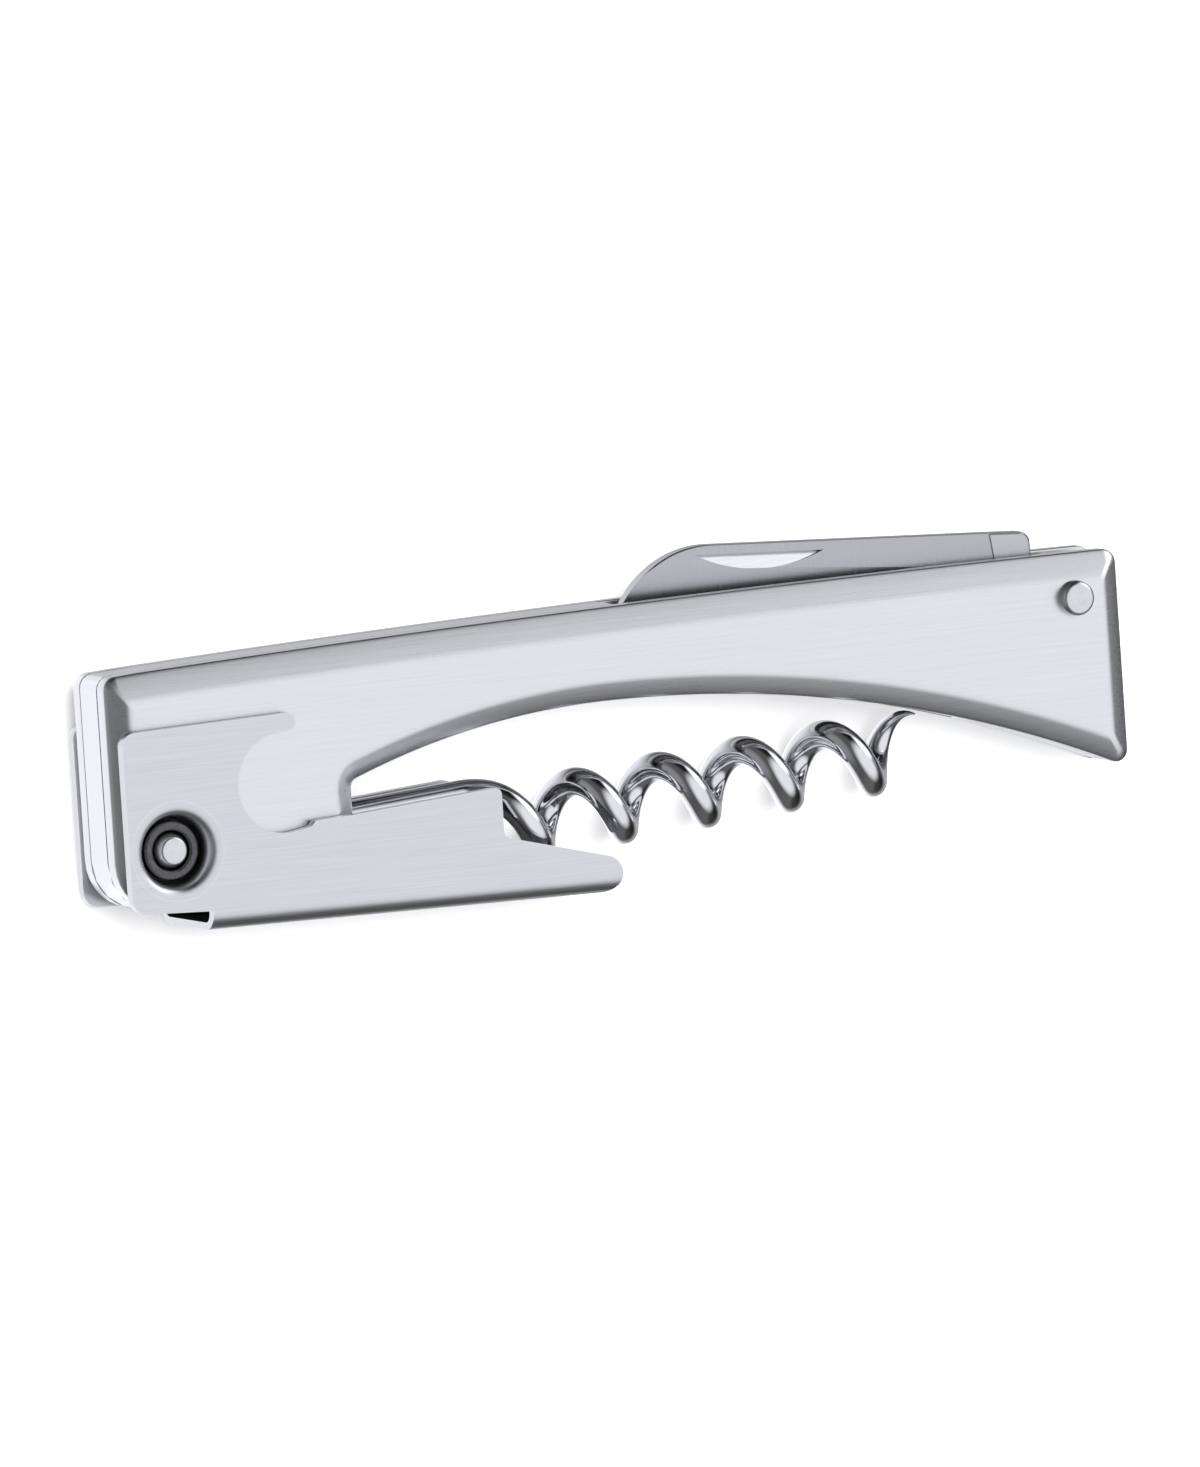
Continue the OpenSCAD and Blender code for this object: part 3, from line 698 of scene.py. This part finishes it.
def worm_rings():
    stops = [(Vector((x, 0, 0)), Vector((1, 0, 0)), Vector((0, 1, 0)), WIRE)
             for x in SHANK_STOPS]
    count = int(COIL_RUN * RINGS_PER_TURN)
    for i in range(1, count + 1):
        turn = COIL_RUN * i / count
        along = (coil_point(turn + NUDGE) - coil_point(turn - NUDGE)).normalized()
        out = Vector((0, *turned(coil_angle(turn))))
        stops.append((coil_point(turn), along, out, wire_radius(turn)))
    tilt = Matrix.Rotation(math.radians(WORM_TILT), 3, "Z")
    centre = Vector((WORM_PIVOT.x, WORM_PIVOT.y, 0))
    rings = []
    for point, along, out, radius in stops:
        side = along.cross(out).normalized()
        up = side.cross(along)
        ring = []
        for i in range(SIDES):
            a, b = turned(360 * i / SIDES, radius)
            ring.append(tuple(centre + tilt @ (point + up * a + side * b)))
        rings.append(ring)
    return rings


eye_side = [(EYE, EYE_HALF - EYE_BEVEL), (EYE - EYE_BEVEL, EYE_HALF),
            (EYE_BORE + EYE_BORE_BEVEL, EYE_HALF), (EYE_BORE, EYE_HALF - EYE_BORE_BEVEL)]
eye = lathe("eye", both_ends(eye_side), centre=(WORM_PIVOT.x, WORM_PIVOT.y), ring=True)
worm = joined("worm_coil", [loft("wire", worm_rings()), eye])
shade(worm, 60)
dress(worm, WORM_STEEL, "worm_arm", "worm")

# %% [markdown]
# ## The blade's outline
# The foil cutter folds into the handle with its rounded tip to the left and its back showing.
# The tip is one large arc that runs into the straight spine. The tang is round about the rivet,
# and a small kick keeps the cutting edge off the spring.

# %% The blade's outline
REACH, TIP_ARC = 47.2, 10.8
SPINE_SLOPE = 3.55
TANG_BACK, TANG_CORNER, TANG_RADIUS = 2.4, 1.2, 4.2
TIP_CENTRE = (RIVET.x - REACH + TIP_ARC - 1.35, RIVET.y - 2.0)
TIP_ROUNDING = 0.3
EDGE_START = (RIVET.x - REACH, RIVET.y + 1.9)
EDGE_END = (RIVET.x - 7.7, RIVET.y - 2.2)
KICK_X = RIVET.x - 7.2


def blade_outline():
    spine = (TIP_CENTRE[0] + turned(90 - SPINE_SLOPE, TIP_ARC)[0],
             TIP_CENTRE[1] + turned(90 - SPINE_SLOPE, TIP_ARC)[1])
    tang_x = RIVET.x - TANG_BACK
    spine_end = spine[1] - (tang_x - spine[0]) * math.tan(math.radians(SPINE_SLOPE))
    arc_start = EDGE_START[0] + TIP_ROUNDING - TIP_CENTRE[0]
    tip_turn = math.degrees(math.acos(arc_start / TIP_ARC))
    drop = math.degrees(math.asin(TANG_BACK / TANG_RADIUS))
    points = [EDGE_START]
    points += arc(TIP_CENTRE, TIP_ARC, tip_turn, 90 - SPINE_SLOPE, 32)
    points += arc((tang_x - TANG_CORNER, spine_end - TANG_CORNER + 0.07), TANG_CORNER,
                  90 - SPINE_SLOPE, 0, 8)
    points += arc((RIVET.x, RIVET.y), TANG_RADIUS, 90 + drop, -90, 32)
    points += [(KICK_X, RIVET.y - TANG_RADIUS), EDGE_END]
    return points[::-1]


# %% [markdown]
# ## How the blade is ground
# A blade starts as flat stock and everything else is taken off it. Both sides are ground back
# from the tang, and the grinding ends in a slightly leaning plunge line. The cutting edge is
# ground thinner on the front. The nail nick is cut by a disc held at a slant, which leaves a
# straight upper side and a bow below.

# %% How the blade is ground
BLADE_HALF, GRIND = 0.95, 0.15
PLUNGE, PLUNGE_LEAN = 5.85, 8.0
PAST_BLADE, PAST_EDGES = 60, 20
EDGE_SECTION = [(-6, -0.6), (7.4, 1.0), (7.4, 3), (-6, 3)]
NICK_X, NICK_FROM_SPINE = RIVET.x - 31.9, 0.95
NICK_RADIUS, NICK_HALF, NICK_DEPTH = 16.4, 7.0, 0.55


def leaning_box(name, low, high):
    corners = [(0, -PAST_EDGES), (0, PAST_EDGES), (-PAST_BLADE, PAST_EDGES),
               (-PAST_BLADE, -PAST_EDGES)]
    cos, sin = turned(PLUNGE_LEAN)
    outline = [(RIVET.x - PLUNGE + x * cos - y * sin, RIVET.y + x * sin + y * cos)
               for x, y in corners]
    return slab(name, outline, low, high)


def edge_wedge(name):
    """What the grinder takes off the front of the cutting edge."""
    start = Vector((*EDGE_START, 0))
    end = Vector((*EDGE_END, 0))
    along = (end - start).normalized()
    inward = Vector((-along.y, along.x, 0))
    rings = []
    for point in (start - along * 6, end):
        rings.append([tuple(point + inward * y + Vector((0, 0, z)))
                      for y, z in EDGE_SECTION])
    return loft(name, rings)


def nick_tool(name):
    """A flat disc tipped so that it cuts deepest along the nick's straight upper side."""
    lift = math.sqrt(NICK_RADIUS**2 - NICK_HALF**2)
    spine_fall = (NICK_X - TIP_CENTRE[0]) * math.tan(math.radians(SPINE_SLOPE))
    nick_y = TIP_CENTRE[1] + TIP_ARC - NICK_FROM_SPINE - spine_fall
    turn = math.degrees(math.acos(NICK_HALF / NICK_RADIUS))
    bow = arc((0, lift), NICK_RADIUS, 180 + turn, 360 - turn, 40)
    top = BLADE_HALF - GRIND
    cos, sin = turned(-SPINE_SLOPE)
    bottom_ring, top_ring = [], []
    for a, b in bow:
        x, y = NICK_X + a * cos - b * sin, nick_y + a * sin + b * cos
        bottom_ring.append((x, y, top - NICK_DEPTH * (1 + b / (NICK_RADIUS - lift))))
        top_ring.append((x, y, top + 1))
    return loft(name, [bottom_ring, top_ring])


# %% [markdown]
# ## The blade
# The tools are used in the order of the real work. The nick's tilted faces get a near-white steel,
# which paints a highlight on them, and the tang keeps a lighter tone than the ground sides. The
# grinding leaves faces that meet at very small angles, so the angle that counts as sharp is small
# too.

# %% The blade
NICK_TILT = (0.85, 0.985)
blade = slab("foil_blade", blade_outline(), -BLADE_HALF, BLADE_HALF)
soften(blade, 0.28, 1, 50)
cut(blade, leaning_box("grind", BLADE_HALF - GRIND, 3))
cut(blade, leaning_box("grind", -3, -BLADE_HALF + GRIND))
cut(blade, edge_wedge("wedge"))
cut(blade, nick_tool("nick"))
bore(blade, (RIVET.x, RIVET.y), RIVET_BORE, -3, 3)
shade(blade, 4.5)
dress(blade, BLADE_STEEL, "blade_arm", "blade")
blade.data.materials.append(NICK_HIGHLIGHT_STEEL)
blade.data.materials.append(TANG_STEEL)
# The nick's tilted faces take the painted highlight steel, and the unground tang its lighter steel.
for face in blade.data.polygons:
    middle = (face.center - PIVOT) / MM
    near_nick = abs(middle.x - NICK_X) < NICK_HALF and middle.z > 0
    tipped = NICK_TILT[0] < face.normal.z < NICK_TILT[1]
    if near_nick and tipped and face.area > MM * MM:
        face.material_index = 1
    if middle.x > RIVET.x - PLUNGE - 1 and abs(middle.z) > BLADE_HALF - 0.01:
        face.material_index = 2

# %% [markdown]
# ## The blade rivet
# The rivet's heads are short drums with a rounded shoulder, set up on the covers' flat faces.

# %% The blade rivet
RIVET_SHANK, HEAD, HEAD_TOP = 1.5, 1.75, 6.3
HEAD_SEAT = FACE + 0.01
head = [(RIVET_SHANK, FACE - 0.2), (RIVET_SHANK, HEAD_SEAT), (HEAD, HEAD_SEAT),
        (HEAD, HEAD_TOP - 0.62),
        (HEAD - 0.03, HEAD_TOP - 0.42), (HEAD - 0.13, HEAD_TOP - 0.2),
        (HEAD - 0.32, HEAD_TOP - 0.06), (HEAD - 0.6, HEAD_TOP - 0.01), (0.7, HEAD_TOP)]
blade_rivet = lathe("blade_rivet_heads", both_ends(head), centre=(RIVET.x, RIVET.y))
shade(blade_rivet, 50)
dress(blade_rivet, PIN_STEEL, "handle", "blade_rivet")

# %% [markdown]
# ## The pieces kept from the CAD model
# The spacers, liners, spring, washers and hidden rivets keep their CAD shapes, since they are flat
# stock with little to add. They get their own steels.

# %% The pieces kept from the CAD model
KEPT = {
    "front_liner": LINER_STEEL,
    "back_liner": LINER_STEEL,
    "spacer": SPACER_STEEL,
    "tail_spacer": SPACER_STEEL,
    "blade_spring": SPRING_STEEL,
    "frame_rivets": PIN_STEEL,
    "worm_pin": PIN_STEEL,
    "blade_washer_front": WASHER_BRASS,
    "blade_washer_back": WASHER_BRASS,
    "worm_washer_front": WASHER_BRASS,
    "worm_washer_back": WASHER_BRASS,
    "lever_washer_front": WASHER_BRASS,
    "lever_washer_back": WASHER_BRASS,
}
for name, material in KEPT.items():
    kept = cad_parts[name]
    kept.data.materials.clear()
    kept.data.materials.append(material)
print("kept from the CAD model:", len(KEPT))

# %% [markdown]
# ## The floor and its lamp
# The floor is matt and glows a little, so that the shadow on it stays soft. The steel doesn't
# reflect the floor or the lamp: what it reflects is painted on the world instead, where each
# surface's tone can be set by itself.

# %% The floor and its lamp
FLOOR_HALF = 3.0
FLOOR_COLOUR, FLOOR_GLOW = (0.93, 0.93, 0.93, 1), 0.3
LAMP_PLACE, LAMP_SIZE, LAMP_POWER = Vector((-0.12, 0.40, 1.2)), 1.0, 21.5


def floor_material():
    material = bpy.data.materials.new("pale floor")
    material.use_nodes = True
    shader = material.node_tree.nodes["Principled BSDF"]
    shader.inputs["Base Color"].default_value = FLOOR_COLOUR
    shader.inputs["Roughness"].default_value = 0.9
    shader.inputs["Specular IOR Level"].default_value = 0.0
    shader.inputs["Emission Color"].default_value = FLOOR_COLOUR
    shader.inputs["Emission Strength"].default_value = FLOOR_GLOW
    return material


def studio_floor():
    corners = [(-1, -1), (1, -1), (1, 1), (-1, 1)]
    mesh = bpy.data.meshes.new("studio_floor")
    mesh.from_pydata([(x * FLOOR_HALF, y * FLOOR_HALF, 0) for x, y in corners], [], [(0, 1, 2, 3)])
    mesh.materials.append(floor_material())
    floor = bpy.data.objects.new("studio_floor", mesh)
    bpy.context.scene.collection.objects.link(floor)
    floor.visible_glossy = False


def table_lamp():
    data = bpy.data.lights.new("table lamp", "AREA")
    data.shape = "SQUARE"
    data.size = LAMP_SIZE
    data.energy = LAMP_POWER
    lamp = bpy.data.objects.new("table lamp", data)
    lamp.location = LAMP_PLACE
    lamp.rotation_mode = "QUATERNION"
    lamp.rotation_quaternion = (-LAMP_PLACE).to_track_quat("-Z", "Y")
    lamp.visible_glossy = False
    bpy.context.scene.collection.objects.link(lamp)


studio_floor()
table_lamp()
print("floor and lamp made")


# %% [markdown]
# ## The studio's cards
# Polished and brushed steel show the room more than themselves. A room can be built from real
# cards and softboxes, or painted on the world, and the second is steadier: each card is a soft
# round patch in one direction. A large one overhead fills the flat faces, and bright ones below
# stand for the white table. A card of negative strength is a black one, which deepens the bevels
# that face it.

# %% The studio's cards
COOL_WHITE = (0.985, 0.99, 1.03)


def studio_world(base, cards):
    """Each card is (direction, strength, how far it spreads, how far it is full), as cosines."""
    world = bpy.data.worlds.new("studio")
    bpy.context.scene.world = world
    world.use_nodes = True
    tree = world.node_tree
    background = tree.nodes["Background"]
    direction = node_of(tree, "ShaderNodeTexCoord").outputs["Generated"]
    total = None
    for towards, strength, spread, full in cards:
        facing = node_of(tree, "ShaderNodeVectorMath", operation="DOT_PRODUCT")
        facing.inputs[1].default_value = Vector(towards).normalized()
        tree.links.new(direction, facing.inputs[0])
        patch = node_of(tree, "ShaderNodeMapRange", interpolation_type="SMOOTHSTEP")
        patch.inputs["From Min"].default_value = spread
        patch.inputs["From Max"].default_value = full
        patch.inputs["To Min"].default_value = 0.0
        patch.inputs["To Max"].default_value = strength
        tree.links.new(facing.outputs["Value"], patch.inputs["Value"])
        adding = node_of(tree, "ShaderNodeMath", operation="ADD")
        adding.inputs[0].default_value = base
        if total:
            tree.links.new(total, adding.inputs[0])
        tree.links.new(patch.outputs["Result"], adding.inputs[1])
        total = adding.outputs["Value"]
    tint = node_of(tree, "ShaderNodeVectorMath", operation="SCALE")
    tint.inputs[0].default_value = COOL_WHITE
    tree.links.new(total, tint.inputs["Scale"])
    tree.links.new(tint.outputs["Vector"], background.inputs["Color"])


studio_world(0.11, [
    ((0.45, -0.12, 0.88), 0.92, 0.50, 0.88),
    ((-0.42, -0.10, -0.90), 1.0, 0.5, 0.85),
    ((0.42, 0.88, 0.23), -0.10, 0.6, 0.95),
    ((0.30, -0.95, 0.05), 0.03, 0.7, 0.95),
    ((0.38, -0.10, -0.90), 0.34, 0.6, 0.92),
    ((-1.0, 0.0, 0.1), 0.2, 0.6, 0.95),
    ((0.76, 0.58, 0.28), 1.5, 0.86, 0.97),
    ((0.75, -0.63, -0.18), -0.09, 0.80, 0.97),
])
bpy.context.scene.view_settings.view_transform = "Standard"
print("world:", bpy.context.scene.world.name)

# %% [markdown]
# ## The camera
# The tool is seen from above, turned a little towards its left end and a very little towards the
# blade, through a long lens that keeps parallel edges parallel.

# %% The camera
RIGHT_ON_VIEW = Vector((0.9018, -0.0663, 0.4270))
UP_ON_VIEW = Vector((0.1028, 0.9926, -0.0630))
LENS, LONG_SIDE = 1000.0, 36.0
VIEW_HEIGHT = 143.3
VIEW_RIGHT, VIEW_UP = 43.75, 11.1


def make_camera():
    right = RIGHT_ON_VIEW.normalized()
    up = (UP_ON_VIEW - UP_ON_VIEW.dot(right) * right).normalized()
    back = right.cross(up)
    distance = LENS / LONG_SIDE * VIEW_HEIGHT * MM
    target = PIVOT + (right * VIEW_RIGHT + up * VIEW_UP) * MM
    target += back * (-back.dot(target - middle_of("spacer")))
    data = bpy.data.cameras.new("camera")
    data.lens = LENS
    data.sensor_width = LONG_SIDE
    data.clip_start, data.clip_end = 0.01, 20
    camera = bpy.data.objects.new("camera", data)
    bpy.context.scene.collection.objects.link(camera)
    place = target + back * distance
    turn = Matrix((right, up, back)).transposed().to_4x4()
    camera.matrix_world = Matrix.Translation(place) @ turn
    bpy.context.scene.camera = camera
    print("camera at", tuple(round(c, 4) for c in place))


make_camera()
